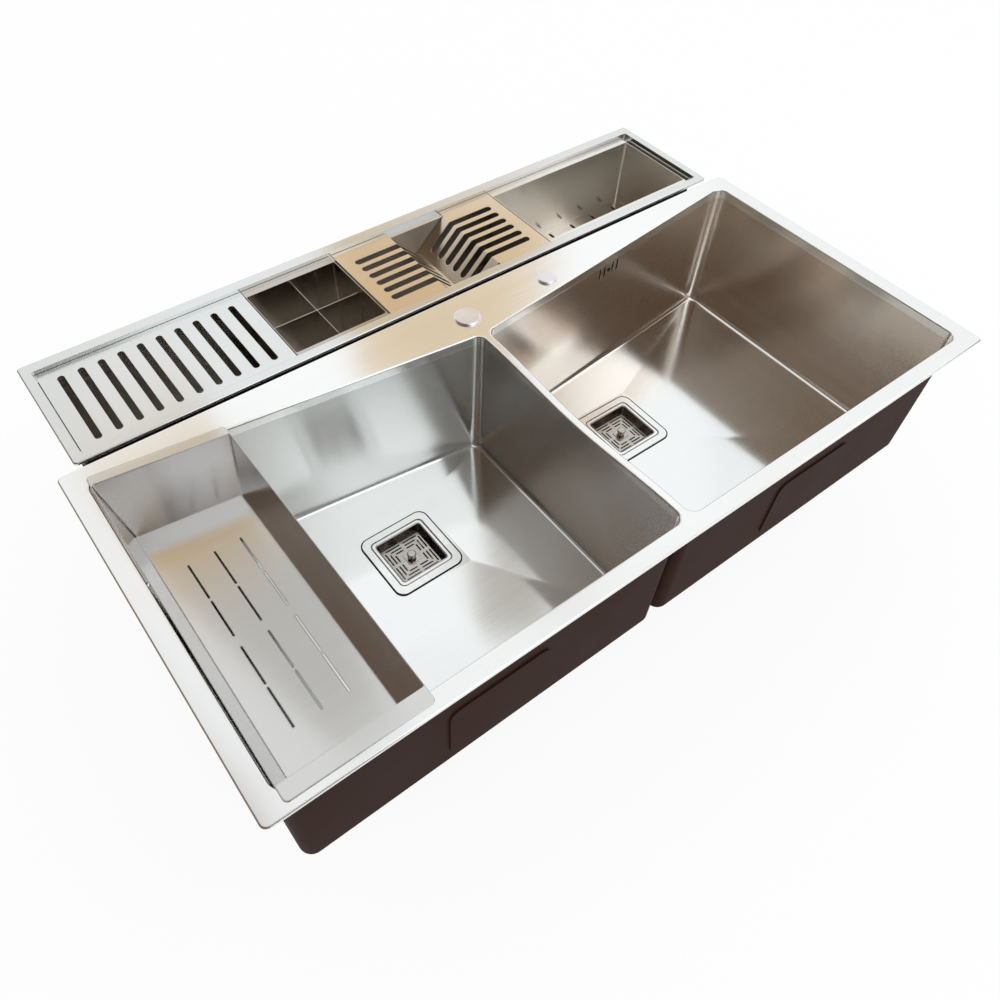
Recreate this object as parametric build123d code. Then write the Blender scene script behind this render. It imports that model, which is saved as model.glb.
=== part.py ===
from build123d import *
from math import atan, cos, sqrt, tan
import os

# Channel sink: a two-bowl drop-in sink with a triangular rear ledge,
# and a drop-in accessory channel behind it.
# Millimetres. X runs along the sink, Y towards the wall, Z up.
# The origin is the centre of the sink's cut-out, on top of the worktop.

# Sheet, coat and clearances
sheet = 1.2
coat = 0.8
lift_clearance = 0.8
thread_clearance = 0.3

# Sink deck
deck_length = 1143.0
deck_width = 508.0
rim_height = 4.0
deck_corner_radius = 8.0
rim_edge_radius = 2.0
side_rim = 26.0
front_rim = 24.0
rear_rim_end = 26.0
rear_rim_middle = 88.0
divider_width = 12.0
divider_dip = 10.0
skirt_depth = 14.0
opening_edge_radius = 2.4

# Bowls
bowl_depth = 229.0
bowl_corner_radius = 15.0
floor_radius = 7.0
floor_fall = 5.0
crease_radius = 3.0

# Square wastes
drain_x = 209.5
drain_y = 54.5
flange_side = 112.0
flange_radius = 14.0
flange_plate = 2.0
flange_edge_radius = 1.0
seat_margin = 6.0
cup_side = 93.0
cup_depth = 22.0
cup_wall = 1.5
cup_inner_side = 84.0
rebate_depth = 2.0
well_clearance = 1.0
outlet_bore = 58.0
outlet_wall = 1.5
outlet_length = 44.0
gasket_thickness = 3.0
gasket_diameter = 86.0
nut_diameter = 78.0
nut_height = 10.0
nut_lugs = 6
nut_lug_diameter = 18.0
tail_diameter = 40.0
tail_wall = 2.0
tail_length = 48.0
tail_shoulder = 8.0
tail_shoulder_step = 0.5
tail_collar = 4.0
tail_nut_height = 18.0
tail_nut_lip = 4.0

# Strainer baskets
basket_clearance = 1.8
basket_rim_width = 5.5
basket_rim_plate = 1.4
basket_depth = 15.0
basket_draft = 5.0
basket_sheet = 1.0
slit_width = 2.2
slit_rings = 3
slit_ring_pitch = 5.5
slit_rib = 5.0
slit_border = 4.5
knob_base = 20.0
knob_base_radius = 2.5
knob_stem_diameter = 7.0
knob_height = 11.0
knob_diameter = 13.0
knob_head_height = 5.5
knob_edge_radius = 1.4
knob_shank_diameter = 5.0

# Overflow in the right bowl's rear wall
overflow_x = 268.0
overflow_drop = 27.0
overflow_slot_height = 21.0
overflow_slot_width = 4.0
overflow_slot_offsets = (9.5, 20.0)
overflow_screw_diameter = 4.0
overflow_head_diameter = 6.0
overflow_head_height = 1.0
overflow_box_length = 64.0
overflow_box_height = 36.0
overflow_box_depth = 24.0
overflow_box_wall = 2.0
overflow_box_edge = 4.0
overflow_box_radius = 5.0
overflow_boss_diameter = 8.0
overflow_seal_thickness = 2.5
spigot_diameter = 20.0
spigot_length = 26.0

# Hole covers on the rear ledge
tap_hole_diameter = 35.0
tap_cover_diameter = 38.0
small_hole_x = 149.5
small_hole_diameter = 27.0
small_cover_diameter = 30.0
hole_rear_distance = 48.0
small_hole_rear_distance = 45.0
cover_height = 3.4
cover_bevel = 1.6
cover_edge_radius = 0.8
clip_wall = 1.6
clip_length = 14.0
clip_slots = 4
clip_slot_width = 4.0

# Damping pads on the outside of the bowls
pad_width = 146.0
pad_height = 110.0
pad_thickness = 2.5
pad_radius = 15.0
pad_drop = 88.0

# Foam seals under the flanges
seal_width = 12.0
channel_seal_width = 8.0

# Tray hung in the left bowl
tray_sheet = 1.0
tray_width = 171.0
tray_end_gap = 2.5
tray_front_gap = 6.0
tray_rear_gap = 7.5
tray_depth = 80.0
tray_side_draft = 16.0
tray_front_draft = 26.5
tray_rear_draft = 31.0
tray_corner_radius = 3.0
tray_front_flange = 14.0
tray_rear_flange = 14.0
tray_flange_radius = 6.0
tray_slit_length = 58.5
tray_slit_width = 2.2
tray_slit_bridge = 4.0
tray_slit_middle = 16.0
tray_slit_shift = -9.0
tray_slit_pitch = 35.0
tray_slit_columns = 3

# Accessory channel
channel_length = 1092.0
channel_width = 203.0
channel_gap = 8.0
channel_corner_radius = 5.0
channel_front_flange = 13.0
channel_rear_flange = 18.0
channel_end_flange = 14.0
recess_depth = 7.2
recess_radius = 3.0
front_ledge = 9.0
rear_ledge = 13.0
end_ledge = 1.0
trough_depth = 138.0
trough_floor_radius = 2.0

# Channel waste
channel_drain_x = -380.0
channel_waste_diameter = 62.0
channel_waste_plate = 2.0
channel_tail_diameter = 40.0
channel_tail_wall = 2.0
channel_thread_length = 18.0
channel_spigot_diameter = 38.0
channel_spigot_length = 34.0
channel_nut_diameter = 58.0
channel_nut_height = 9.0
grid_slots = 3
grid_slot_width = 5.0
grid_slot_pitch = 9.0

# Inserts, from left to right in the channel
insert_start_gap = 1.0
insert_gap = 1.4
drainer_length = 298.0
drainer_slots = 10
drainer_slot_length = 135.0
drainer_slot_width = 9.5
drainer_slot_pitch = 27.3
spice_length = 148.0
spice_gap = 3.4
spice_depth = 80.0
box_radius = 4.0
box_ledge_gap = 2.0
divider_sheet = 1.0
divider_drop = 9.0
rack_length = 297.0
rack_flat = 98.0
rack_v_depth = 47.0
rack_slots = 6
rack_slot_width = 11.5
rack_slot_pitch = 19.8
rack_slot_margin = 20.0
rack_slot_bottom = 11.0
caddy_length = 302.0
caddy_depth = 112.0
caddy_slots = 6
caddy_slot_pitch = 50.0
caddy_slot_length = 14.0
caddy_slot_width = 5.0
caddy_slot_inset = 20.0

# Levels and lines that several pieces share
skirt_z = rim_height - skirt_depth
seat_z = rim_height - bowl_depth
floor_edge_z = seat_z + floor_fall
front_y = -deck_width / 2 + front_rim
rear_middle_y = deck_width / 2 - rear_rim_middle
bowl_outer_x = deck_length / 2 - side_rim
bowl_inner_x = divider_width / 2
rear_slope = (rear_rim_middle - rear_rim_end) / (bowl_outer_x - bowl_inner_x)
rear_stretch = sqrt(1 + rear_slope ** 2)
tap_hole_y = deck_width / 2 - hole_rear_distance
small_hole_y = deck_width / 2 - small_hole_rear_distance
flange_top_z = seat_z + flange_plate
rebate_z = flange_top_z - rebate_depth
rebate_side = cup_side - 2 * cup_wall
rebate_radius = flange_radius - (flange_side - rebate_side) / 4
well_side = cup_side + 2 * well_clearance
well_depth = cup_depth + thread_clearance
well_radius = rebate_radius + cup_wall + well_clearance
outlet_diameter = outlet_bore + 2 * outlet_wall
outlet_end_z = seat_z - cup_depth - outlet_length
channel_front_y = deck_width / 2 + channel_gap
recess_front_y = channel_front_y + channel_front_flange
recess_rear_y = channel_front_y + channel_width - channel_rear_flange
recess_end_x = channel_length / 2 - channel_end_flange
trough_front_y = recess_front_y + front_ledge
trough_rear_y = recess_rear_y - rear_ledge
trough_end_x = recess_end_x - end_ledge
trough_middle_y = (trough_front_y + trough_rear_y) / 2
ledge_z = rim_height - recess_depth
insert_top_z = ledge_z + sheet
trough_floor_z = rim_height - trough_depth

nodes = {}


def outline(points, radius):
    """Face with straight sides and rounded corners."""
    face = Polygon(*points, align=None)
    return fillet(face.vertices(), radius)


def prism(points, radius, low, high):
    """Upright solid of a rounded outline between two levels."""
    return extrude(Pos(0, 0, low) * outline(points, radius), amount=high - low)


def block(x_low, x_high, y_low, y_high, z_low, z_high):
    """Plain box between six planes."""
    size = (x_high - x_low, y_high - y_low, z_high - z_low)
    middle = ((x_low + x_high) / 2, (y_low + y_high) / 2, (z_low + z_high) / 2)
    return Pos(*middle) * Box(*size)


def rectangle(x_low, x_high, y_low, y_high, grow=0.0):
    """Corners of a rectangle, counter-clockwise from the front left one."""
    left, right = x_low - grow, x_high + grow
    front, rear = y_low - grow, y_high + grow
    return [(left, front), (right, front), (right, rear), (left, rear)]


def square(x, y, side):
    """Corners of a square about a centre."""
    return rectangle(x - side / 2, x + side / 2, y - side / 2, y + side / 2)


def cylinder(x, y, diameter, low, high):
    """Upright cylinder between two levels."""
    return Pos(x, y, (low + high) / 2) * Cylinder(diameter / 2, high - low)


def ring(x, y, outer, inner, low, high):
    """Upright tube between two levels."""
    return cylinder(x, y, outer, low, high) - cylinder(x, y, inner, low, high)


def lugged_ring(x, y, outer, inner, low, high, lugs):
    """Hand-tightened ring nut with rounded lugs round it."""
    lug_reach = (outer - nut_lug_diameter) / 2
    body = cylinder(x, y, outer - nut_lug_diameter / 2, low, high)
    for turn in range(lugs):
        lug = cylinder(lug_reach, 0, nut_lug_diameter, low, high)
        body += Pos(x, y, 0) * Rot(0, 0, 360 / lugs * turn) * lug
    return body - cylinder(x, y, inner, low, high)


def upright_slot(x, y, length, width, low, high, along_y=True):
    """Round-ended slot cutter that goes through in Z."""
    turn = Rot(0, 0, 90) if along_y else Rot(0, 0, 0)
    return extrude(Pos(x, y, low) * turn * SlotOverall(length, width), amount=high - low)


def rear_edge_y(x, grow=0.0):
    """Y of the bowls' slanted rear wall at a place along the sink."""
    return rear_middle_y + rear_slope * (abs(x) - bowl_inner_x) + grow * rear_stretch


def bowl_points(side, grow=0.0):
    """Corners of a bowl's opening, from the front left one; side is -1 for the left bowl, 1 for the right."""
    inner = side * (bowl_inner_x - grow)
    outer = side * (bowl_outer_x + grow)
    left, right = min(inner, outer), max(inner, outer)
    front = front_y - grow
    return [(left, front), (right, front), (right, rear_edge_y(right, grow)), (left, rear_edge_y(left, grow))]


def bowl_space(side, grow, with_well=True):
    """Room inside a bowl up to the skirt, grown outwards by a wall thickness."""
    edge_z = floor_edge_z - grow
    room = prism(bowl_points(side, grow), bowl_corner_radius + grow, edge_z, skirt_z)
    room = fillet(room.edges().group_by(Axis.Z)[0], floor_radius + grow)
    flat = outline(bowl_points(side, -floor_radius), bowl_corner_radius - floor_radius)
    drain = square(side * drain_x, drain_y, flange_side + 2 * seat_margin)
    seat = outline(drain, crease_radius)
    room += loft([Pos(0, 0, edge_z) * flat, Pos(0, 0, seat_z - grow) * seat], ruled=True)
    if with_well:
        corners = square(side * drain_x, drain_y, well_side + 2 * grow)
        room += prism(corners, well_radius + grow, seat_z - well_depth - grow, seat_z)
    return room


def wall_plane(x, side, grow, z):
    """Plane on a bowl's slanted rear wall, its Y up and its Z pointing out of the bowl."""
    along = Vector(-1, -side * rear_slope, 0)
    out = Vector(-side * rear_slope, 1, 0)
    inner_face = Plane(origin=(x, rear_edge_y(x), z), x_dir=along, z_dir=out)
    return inner_face.offset(grow)


def make_deck():
    """Rim, ledge and divider: one sheet with a turned-down lip and a skirt round each opening."""
    half_length, half_width = deck_length / 2, deck_width / 2
    rim = rectangle(-half_length, half_length, -half_width, half_width)
    under = rectangle(-half_length, half_length, -half_width, half_width, -sheet)
    deck = prism(rim, deck_corner_radius, 0, rim_height)
    deck = fillet(deck.edges().group_by(Axis.Z)[-1], rim_edge_radius)
    deck -= prism(under, deck_corner_radius - sheet, 0, rim_height - sheet)
    for side in (-1, 1):
        deck += prism(bowl_points(side, sheet), bowl_corner_radius + sheet, skirt_z, rim_height - sheet / 2)
    for side in (-1, 1):
        deck -= prism(bowl_points(side), bowl_corner_radius, skirt_z, rim_height)
    deck = dip_divider(deck)
    deck = fillet(opening_edges(deck), opening_edge_radius)
    deck -= cylinder(0, tap_hole_y, tap_hole_diameter, 0, rim_height)
    return deck - cylinder(small_hole_x, small_hole_y, small_hole_diameter, 0, rim_height)


def dip_divider(deck):
    """Lowers the divider between its ends to a shallow saddle."""
    start = front_y + bowl_corner_radius + opening_edge_radius
    end = rear_middle_y - bowl_corner_radius - opening_edge_radius
    middle = (start + end) / 2
    low = rim_height - divider_dip
    curve = Spline((0, start, rim_height), (0, middle, low), (0, end, rim_height),
                   tangents=[(0, 1, 0), (0, 1, 0)], tangent_scalars=[1, 1])
    lower = Pos(0, 0, -sheet) * curve
    above = make_face(curve + Line(curve @ 0, curve @ 1))
    band = make_face(curve + Line(curve @ 1, lower @ 1) + lower + Line(lower @ 0, curve @ 0))
    deck -= extrude(above, amount=bowl_inner_x, both=True)
    return deck + extrude(band, amount=bowl_inner_x, both=True)


def opening_edges(deck):
    """Top edges of the two openings, the divider's dipped ones included."""
    found = ShapeList()
    for side in (-1, 1):
        rail = Wire(outline(bowl_points(side), bowl_corner_radius).edges())
        for edge in deck.edges():
            middle = edge.position_at(0.5)
            ends_level = abs(edge.position_at(0).Z - edge.position_at(1).Z) < sheet
            in_plan = Vector(middle.X, middle.Y, 0)
            if ends_level and middle.Z > skirt_z + sheet and rail.distance_to(Vertex(*in_plan)) < 0.01:
                found.append(edge)
    return found


def make_bowl(side):
    """Folded bowl: four upright walls, a creased floor that falls to a pressed square well."""
    bowl = bowl_space(side, sheet) - bowl_space(side, 0)
    hole = outlet_diameter + 2 * well_clearance
    return bowl - cylinder(side * drain_x, drain_y, hole, seat_z - well_depth - sheet, seat_z)


def make_undercoat(side):
    """Dark coat sprayed on the outside of a bowl."""
    return bowl_space(side, sheet + coat, with_well=False) - bowl_space(side, sheet)


def make_pads(side):
    """Damping pads on the front, end and rear walls of a bowl."""
    skin = sheet + coat
    middle_x = side * (bowl_inner_x + bowl_outer_x) / 2
    middle_z = rim_height - pad_drop - pad_height / 2
    end_y = (front_y + rear_edge_y(bowl_outer_x)) / 2
    pad = RectangleRounded(pad_width, pad_height, pad_radius)
    front = Plane(origin=(middle_x, front_y - skin, middle_z), x_dir=(1, 0, 0), z_dir=(0, -1, 0))
    end = Plane(origin=(side * (bowl_outer_x + skin), end_y, middle_z), x_dir=(0, 1, 0), z_dir=(side, 0, 0))
    rear = wall_plane(middle_x, side, skin, middle_z)
    return Compound(children=[extrude(place * pad, amount=pad_thickness) for place in (front, end, rear)])


def make_waste(side):
    """Square waste of one bowl: flange with cup and threaded outlet, and what clamps it under the bowl."""
    name = "left" if side < 0 else "right"
    x, y = side * drain_x, drain_y
    cup_low = seat_z - cup_depth
    flange = prism(square(x, y, flange_side), flange_radius, seat_z, flange_top_z)
    flange = fillet(flange.edges().group_by(Axis.Z)[-1], flange_edge_radius)
    flange += prism(square(x, y, cup_side), rebate_radius + cup_wall, cup_low, seat_z)
    flange += cylinder(x, y, outlet_diameter, outlet_end_z, cup_low)
    flange -= prism(square(x, y, rebate_side), rebate_radius, rebate_z, flange_top_z)
    inner_radius = rebate_radius - (rebate_side - cup_inner_side) / 2
    flange -= prism(square(x, y, cup_inner_side), inner_radius, cup_low + cup_wall, rebate_z)
    flange -= cylinder(x, y, outlet_bore, outlet_end_z, cup_low + cup_wall)
    nodes[name + "_waste_flange"] = flange

    thread = outlet_diameter + 2 * thread_clearance
    gasket_z = seat_z - well_depth - sheet
    nut_z = gasket_z - gasket_thickness
    nodes[name + "_waste_gasket"] = ring(x, y, gasket_diameter, thread, nut_z, gasket_z)
    nodes[name + "_waste_nut"] = lugged_ring(x, y, nut_diameter, thread, nut_z - nut_height, nut_z, nut_lugs)

    collar_z = outlet_end_z - tail_collar
    bore = tail_diameter - 2 * tail_wall
    shoulder = tail_diameter + 2 * tail_shoulder_step
    tail = ring(x, y, outlet_diameter, bore, collar_z, outlet_end_z)
    tail += ring(x, y, shoulder, bore, collar_z - tail_shoulder, collar_z)
    tail += ring(x, y, tail_diameter, bore, outlet_end_z - tail_length, collar_z - tail_shoulder)
    nodes[name + "_tail_pipe"] = tail
    coupling_low = collar_z - tail_nut_lip
    coupling = lugged_ring(x, y, nut_diameter, thread, coupling_low, coupling_low + tail_nut_height, nut_lugs)
    lip_bore = shoulder + 2 * thread_clearance
    coupling += ring(x, y, thread + tail_wall, lip_bore, coupling_low, collar_z)
    nodes[name + "_tail_nut"] = coupling


def make_basket(side):
    """Square strainer basket that drops into the waste's rebate, and its knob."""
    name = "left" if side < 0 else "right"
    x, y = side * drain_x, drain_y
    rim_side = rebate_side - basket_clearance
    rim_radius = rebate_radius - basket_clearance / 2
    mouth = rim_side - 2 * basket_rim_width
    mouth_radius = rim_radius - basket_rim_width / 2
    rim_z = rebate_z + basket_rim_plate
    floor_side = mouth - 2 * basket_draft
    floor_z = flange_top_z - basket_depth
    low_radius = mouth_radius - basket_draft / 2
    basket = prism(square(x, y, rim_side), rim_radius, rebate_z, rim_z)
    shell = [Pos(0, 0, floor_z - basket_sheet) * outline(square(x, y, floor_side), low_radius),
             Pos(0, 0, rim_z) * outline(square(x, y, mouth), mouth_radius)]
    room_floor = square(x, y, floor_side - 2 * basket_sheet)
    room_mouth = square(x, y, mouth - 2 * basket_sheet)
    room = [Pos(0, 0, floor_z) * outline(room_floor, low_radius - basket_sheet),
            Pos(0, 0, rim_z) * outline(room_mouth, mouth_radius - basket_sheet)]
    basket += loft(shell, ruled=True)
    basket -= loft(room, ruled=True)
    under_z = floor_z - basket_sheet
    for index in range(slit_rings):
        reach = floor_side / 2 - slit_border - index * slit_ring_pitch
        length = reach - slit_rib / 2 - slit_width
        middle = slit_rib / 2 + length / 2
        for turn in range(4):
            for half in (-1, 1):
                slit = upright_slot(half * middle, reach, length, slit_width, under_z, floor_z, False)
                basket -= Pos(x, y, 0) * Rot(0, 0, 90 * turn) * slit
    basket -= cylinder(x, y, knob_shank_diameter, under_z, floor_z)
    nodes[name + "_basket"] = basket

    plate_z = floor_z + basket_sheet
    knob_z = floor_z + knob_height
    knob = prism(square(x, y, knob_base), knob_base_radius, floor_z, plate_z)
    knob += cylinder(x, y, knob_shank_diameter - thread_clearance, under_z - basket_sheet, floor_z)
    knob += cylinder(x, y, knob_stem_diameter, plate_z, knob_z)
    head = cylinder(x, y, knob_diameter, knob_z - knob_head_height, knob_z)
    knob += fillet(head.edges().group_by(Axis.Z)[-1], knob_edge_radius)
    nodes[name + "_basket_knob"] = knob


def make_overflow():
    """Cuts the overflow into the right bowl's rear wall and adds what carries the water away behind it."""
    z = rim_height - overflow_drop
    face = wall_plane(overflow_x, 1, 0, z)
    back = wall_plane(overflow_x, 1, sheet, z)
    window = RectangleRounded(overflow_box_length, overflow_box_height, overflow_box_radius)
    inside = offset(window, amount=-overflow_box_edge)
    bowl = nodes["right_bowl"]
    for distance in overflow_slot_offsets:
        for sign in (-1, 1):
            slot = Rot(0, 0, 90) * SlotOverall(overflow_slot_height, overflow_slot_width)
            bowl -= extrude(face * Pos(sign * distance, 0) * slot, amount=2 * sheet, both=True)
    screw_hole = Circle(overflow_screw_diameter / 2 + thread_clearance)
    nodes["right_bowl"] = bowl - extrude(face * screw_hole, amount=2 * sheet, both=True)
    coat_window = offset(window, amount=lift_clearance)
    nodes["right_undercoat"] -= extrude(back * coat_window, amount=2 * coat, both=True)

    seal = extrude(back * (window - inside), amount=overflow_seal_thickness)
    nodes["overflow_seal"] = seal
    box_face = back.offset(overflow_seal_thickness)
    box = extrude(box_face * window, amount=overflow_box_depth)
    hollow = overflow_box_depth - overflow_box_wall
    box -= extrude(box_face * inside, amount=hollow)
    boss = extrude(box_face * Circle(overflow_boss_diameter / 2), amount=hollow)
    spigot_bore = spigot_diameter - 2 * overflow_box_wall
    spigot_middle = overflow_box_depth / 2
    centre = box_face.from_local_coords((0, -overflow_box_height / 2, spigot_middle))
    low = centre.Z - spigot_length
    box += boss
    box += cylinder(centre.X, centre.Y, spigot_diameter, low, centre.Z + overflow_box_wall)
    box -= cylinder(centre.X, centre.Y, spigot_bore, low, centre.Z + 2 * overflow_box_edge)
    shank_reach = sheet + overflow_seal_thickness + hollow - overflow_box_wall
    box -= extrude(box_face * Circle(overflow_screw_diameter / 2), amount=hollow)
    nodes["overflow_box"] = box

    screw = extrude(face * Circle(overflow_screw_diameter / 2), amount=shank_reach)
    head = extrude(face * Circle(overflow_head_diameter / 2), amount=-overflow_head_height)
    nodes["overflow_screw"] = screw + head


def make_cover(x, y, diameter, hole, cover_name, clip_name):
    """Round cover that closes a hole of the rear ledge, with the slotted clip that holds it there."""
    cover = cylinder(x, y, diameter, rim_height, rim_height + cover_height)
    cover = chamfer(cover.edges().group_by(Axis.Z)[-1], cover_bevel)
    nodes[cover_name] = fillet(cover.edges().group_by(Axis.Z)[-1], cover_edge_radius)
    clip_outer = hole - 2 * thread_clearance
    clip_low = rim_height - clip_length
    clip = ring(x, y, clip_outer, clip_outer - 2 * clip_wall, clip_low, rim_height)
    half_slot = clip_slot_width / 2
    cut = block(-hole, hole, -half_slot, half_slot, clip_low, rim_height - 2 * sheet)
    for turn in range(clip_slots // 2):
        clip -= Pos(x, y, 0) * Rot(0, 0, 360 / clip_slots * turn) * cut
    nodes[clip_name] = clip


def make_rim_seal(x_low, x_high, y_low, y_high, radius, width):
    """Foam strip glued under a flange, inside its turned-down lip."""
    outer = prism(rectangle(x_low, x_high, y_low, y_high, -sheet), radius - sheet, 0, rim_height - sheet)
    inner = prism(rectangle(x_low, x_high, y_low, y_high, -sheet - width), sheet, 0, rim_height - sheet)
    return outer - inner


def make_tray():
    """Slitted tray with drafted walls, hung on the deck by its front and rear flanges."""
    left = -bowl_outer_x + tray_end_gap
    right = left + tray_width
    front = front_y + tray_front_gap
    top_z = rim_height + tray_sheet
    floor_z = rim_height - tray_depth

    def corners(inset, draft):
        side_inset = inset + draft * tray_side_draft
        rear_inset = inset + draft * tray_rear_draft + tray_rear_gap
        x_left, x_right = left + side_inset, right - side_inset
        y_front = front + inset + draft * tray_front_draft
        rear_left = rear_edge_y(x_left) - rear_inset
        rear_right = rear_edge_y(x_right) - rear_inset
        return [(x_left, y_front), (x_right, y_front), (x_right, rear_right), (x_left, rear_left)]

    radius = tray_corner_radius
    shell = [Pos(0, 0, floor_z - tray_sheet) * outline(corners(0, 1), radius),
             Pos(0, 0, top_z) * outline(corners(0, 0), radius)]
    room = [Pos(0, 0, floor_z) * outline(corners(tray_sheet, 1), radius - tray_sheet),
            Pos(0, 0, top_z) * outline(corners(tray_sheet, 0), radius - tray_sheet)]
    inner = loft(room, ruled=True)
    tray = loft(shell, ruled=True)
    reach = tray_flange_radius + tray_sheet
    front_points = rectangle(left, right, front_y - tray_front_flange, front + reach)
    rear_left = rear_edge_y(left) - tray_rear_gap
    rear_right = rear_edge_y(right) - tray_rear_gap
    rear_points = [(left, rear_left - reach), (right, rear_right - reach),
                   (right, rear_right + tray_rear_flange), (left, rear_left + tray_rear_flange)]
    for points in (front_points, rear_points):
        tray += prism(points, tray_flange_radius, rim_height, top_z)
    tray -= inner
    middle_x = (left + right) / 2
    floor_front = front + tray_front_draft
    floor_rear = rear_edge_y(middle_x) - tray_rear_gap - tray_rear_draft
    middle_y = (floor_front + floor_rear) / 2 + tray_slit_shift
    step = tray_slit_length / 2
    near = tray_slit_middle / 2 + step
    far = near + tray_slit_length + tray_slit_bridge
    for column in range(tray_slit_columns):
        x = middle_x + (column - (tray_slit_columns - 1) / 2) * tray_slit_pitch
        for y in (middle_y - far, middle_y - near, middle_y + near, middle_y + far):
            tray -= upright_slot(x, y, tray_slit_length, tray_slit_width, floor_z - tray_sheet, floor_z)
    return tray


def make_channel():
    """Channel: flange with a turned-down lip, a shallow recess with ledges, and the deep trough under it."""
    half = channel_length / 2
    rear = channel_front_y + channel_width
    rim = rectangle(-half, half, channel_front_y, rear)
    under = rectangle(-half, half, channel_front_y, rear, -sheet)
    body = prism(rim, channel_corner_radius, 0, rim_height)
    body = fillet(body.edges().group_by(Axis.Z)[-1], rim_edge_radius)
    body -= prism(under, channel_corner_radius - sheet, 0, rim_height - sheet)
    recess_bounds = (-recess_end_x, recess_end_x, recess_front_y, recess_rear_y)
    trough_bounds = (-trough_end_x, trough_end_x, trough_front_y, trough_rear_y)
    pan_low = ledge_z - sheet
    body += prism(rectangle(*recess_bounds, sheet), recess_radius + sheet, pan_low, rim_height - sheet / 2)
    body -= prism(rectangle(*recess_bounds), recess_radius, ledge_z, rim_height)
    body -= prism(rectangle(*trough_bounds), recess_radius, pan_low, ledge_z)
    nodes["channel_rim"] = body

    def trough_space(grow):
        room = prism(rectangle(*trough_bounds, grow), recess_radius + grow, trough_floor_z - grow, pan_low)
        return fillet(room.edges().group_by(Axis.Z)[0], trough_floor_radius + grow)

    hole = channel_tail_diameter + 2 * well_clearance
    drain = cylinder(channel_drain_x, trough_middle_y, hole, trough_floor_z - sheet - coat, trough_floor_z)
    nodes["channel_trough"] = trough_space(sheet) - trough_space(0) - drain
    washer_room = cylinder(channel_drain_x, trough_middle_y, channel_waste_diameter + 2 * lift_clearance,
                           trough_floor_z - sheet - coat, trough_floor_z)
    nodes["channel_undercoat"] = trough_space(sheet + coat) - trough_space(sheet) - washer_room


def make_channel_waste():
    """Small round waste in the trough's floor, under the drainer plate."""
    x, y = channel_drain_x, trough_middle_y
    top = trough_floor_z + channel_waste_plate
    bore = channel_spigot_diameter - 2 * channel_tail_wall
    waste = cylinder(x, y, channel_waste_diameter, trough_floor_z, top)
    waste = fillet(waste.edges().group_by(Axis.Z)[-1], flange_edge_radius)
    thread_end_z = trough_floor_z - channel_thread_length
    spigot_end_z = thread_end_z - channel_spigot_length
    waste += cylinder(x, y, channel_tail_diameter, thread_end_z, trough_floor_z)
    waste += cylinder(x, y, channel_spigot_diameter, spigot_end_z, thread_end_z)
    waste -= cylinder(x, y, bore, spigot_end_z, trough_floor_z)
    for index in range(grid_slots):
        shift = (index - (grid_slots - 1) / 2) * grid_slot_pitch
        length = 2 * sqrt((bore / 2 - channel_tail_wall) ** 2 - shift ** 2) - channel_tail_wall
        waste -= upright_slot(x + shift, y, length, grid_slot_width, trough_floor_z, top)
    nodes["channel_waste"] = waste
    thread = channel_tail_diameter + 2 * thread_clearance
    gasket_z = trough_floor_z - sheet
    nut_z = gasket_z - gasket_thickness
    nodes["channel_waste_gasket"] = ring(x, y, channel_waste_diameter, thread, nut_z, gasket_z)
    nut_low = nut_z - channel_nut_height
    nodes["channel_waste_nut"] = lugged_ring(x, y, channel_nut_diameter, thread, nut_low, nut_z, nut_lugs)


def insert_plate(left, length):
    """Sheet that spans the recess and rests on its two ledges."""
    front, rear = recess_front_y + lift_clearance, recess_rear_y - lift_clearance
    return block(left, left + length, front, rear, ledge_z, insert_top_z)


def open_box(left, length, depth):
    """Sheet box hung from an insert plate through the trough's opening."""
    x_low, x_high = left, left + length
    y_low, y_high = trough_front_y + box_ledge_gap, trough_rear_y - box_ledge_gap
    floor_z = insert_top_z - depth
    outside = prism(rectangle(x_low, x_high, y_low, y_high), box_radius, floor_z - sheet, ledge_z)
    inside = prism(rectangle(x_low, x_high, y_low, y_high, -sheet), box_radius - sheet, floor_z, insert_top_z)
    return insert_plate(left, length) + outside - inside


def make_drainer(left):
    """Flat drainer plate with a row of round-ended slots."""
    plate = insert_plate(left, drainer_length)
    middle = left + drainer_length / 2
    for index in range(drainer_slots):
        x = middle + (index - (drainer_slots - 1) / 2) * drainer_slot_pitch
        plate -= upright_slot(x, trough_middle_y, drainer_slot_length, drainer_slot_width,
                              ledge_z, insert_top_z)
    return plate


def make_spice_dividers(left):
    """Two plates that cross by half-lap slots and stand in the spice box."""
    inner_left = left + sheet + lift_clearance
    inner_right = left + spice_length - sheet - lift_clearance
    inner_front = trough_front_y + box_ledge_gap + sheet + lift_clearance
    inner_rear = trough_rear_y - box_ledge_gap - sheet - lift_clearance
    low = insert_top_z - spice_depth
    high = insert_top_z - divider_drop
    half_level = (low + high) / 2
    middle_x = (inner_left + inner_right) / 2
    half = divider_sheet / 2
    notch = half + thread_clearance / 2
    middle_y = trough_middle_y
    long = block(inner_left, inner_right, middle_y - half, middle_y + half, low, high)
    long -= block(middle_x - notch, middle_x + notch, middle_y - half, middle_y + half, half_level, high)
    cross = block(middle_x - half, middle_x + half, inner_front, inner_rear, low, high)
    cross -= block(middle_x - half, middle_x + half, middle_y - notch, middle_y + notch, low, half_level)
    return long, cross


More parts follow.
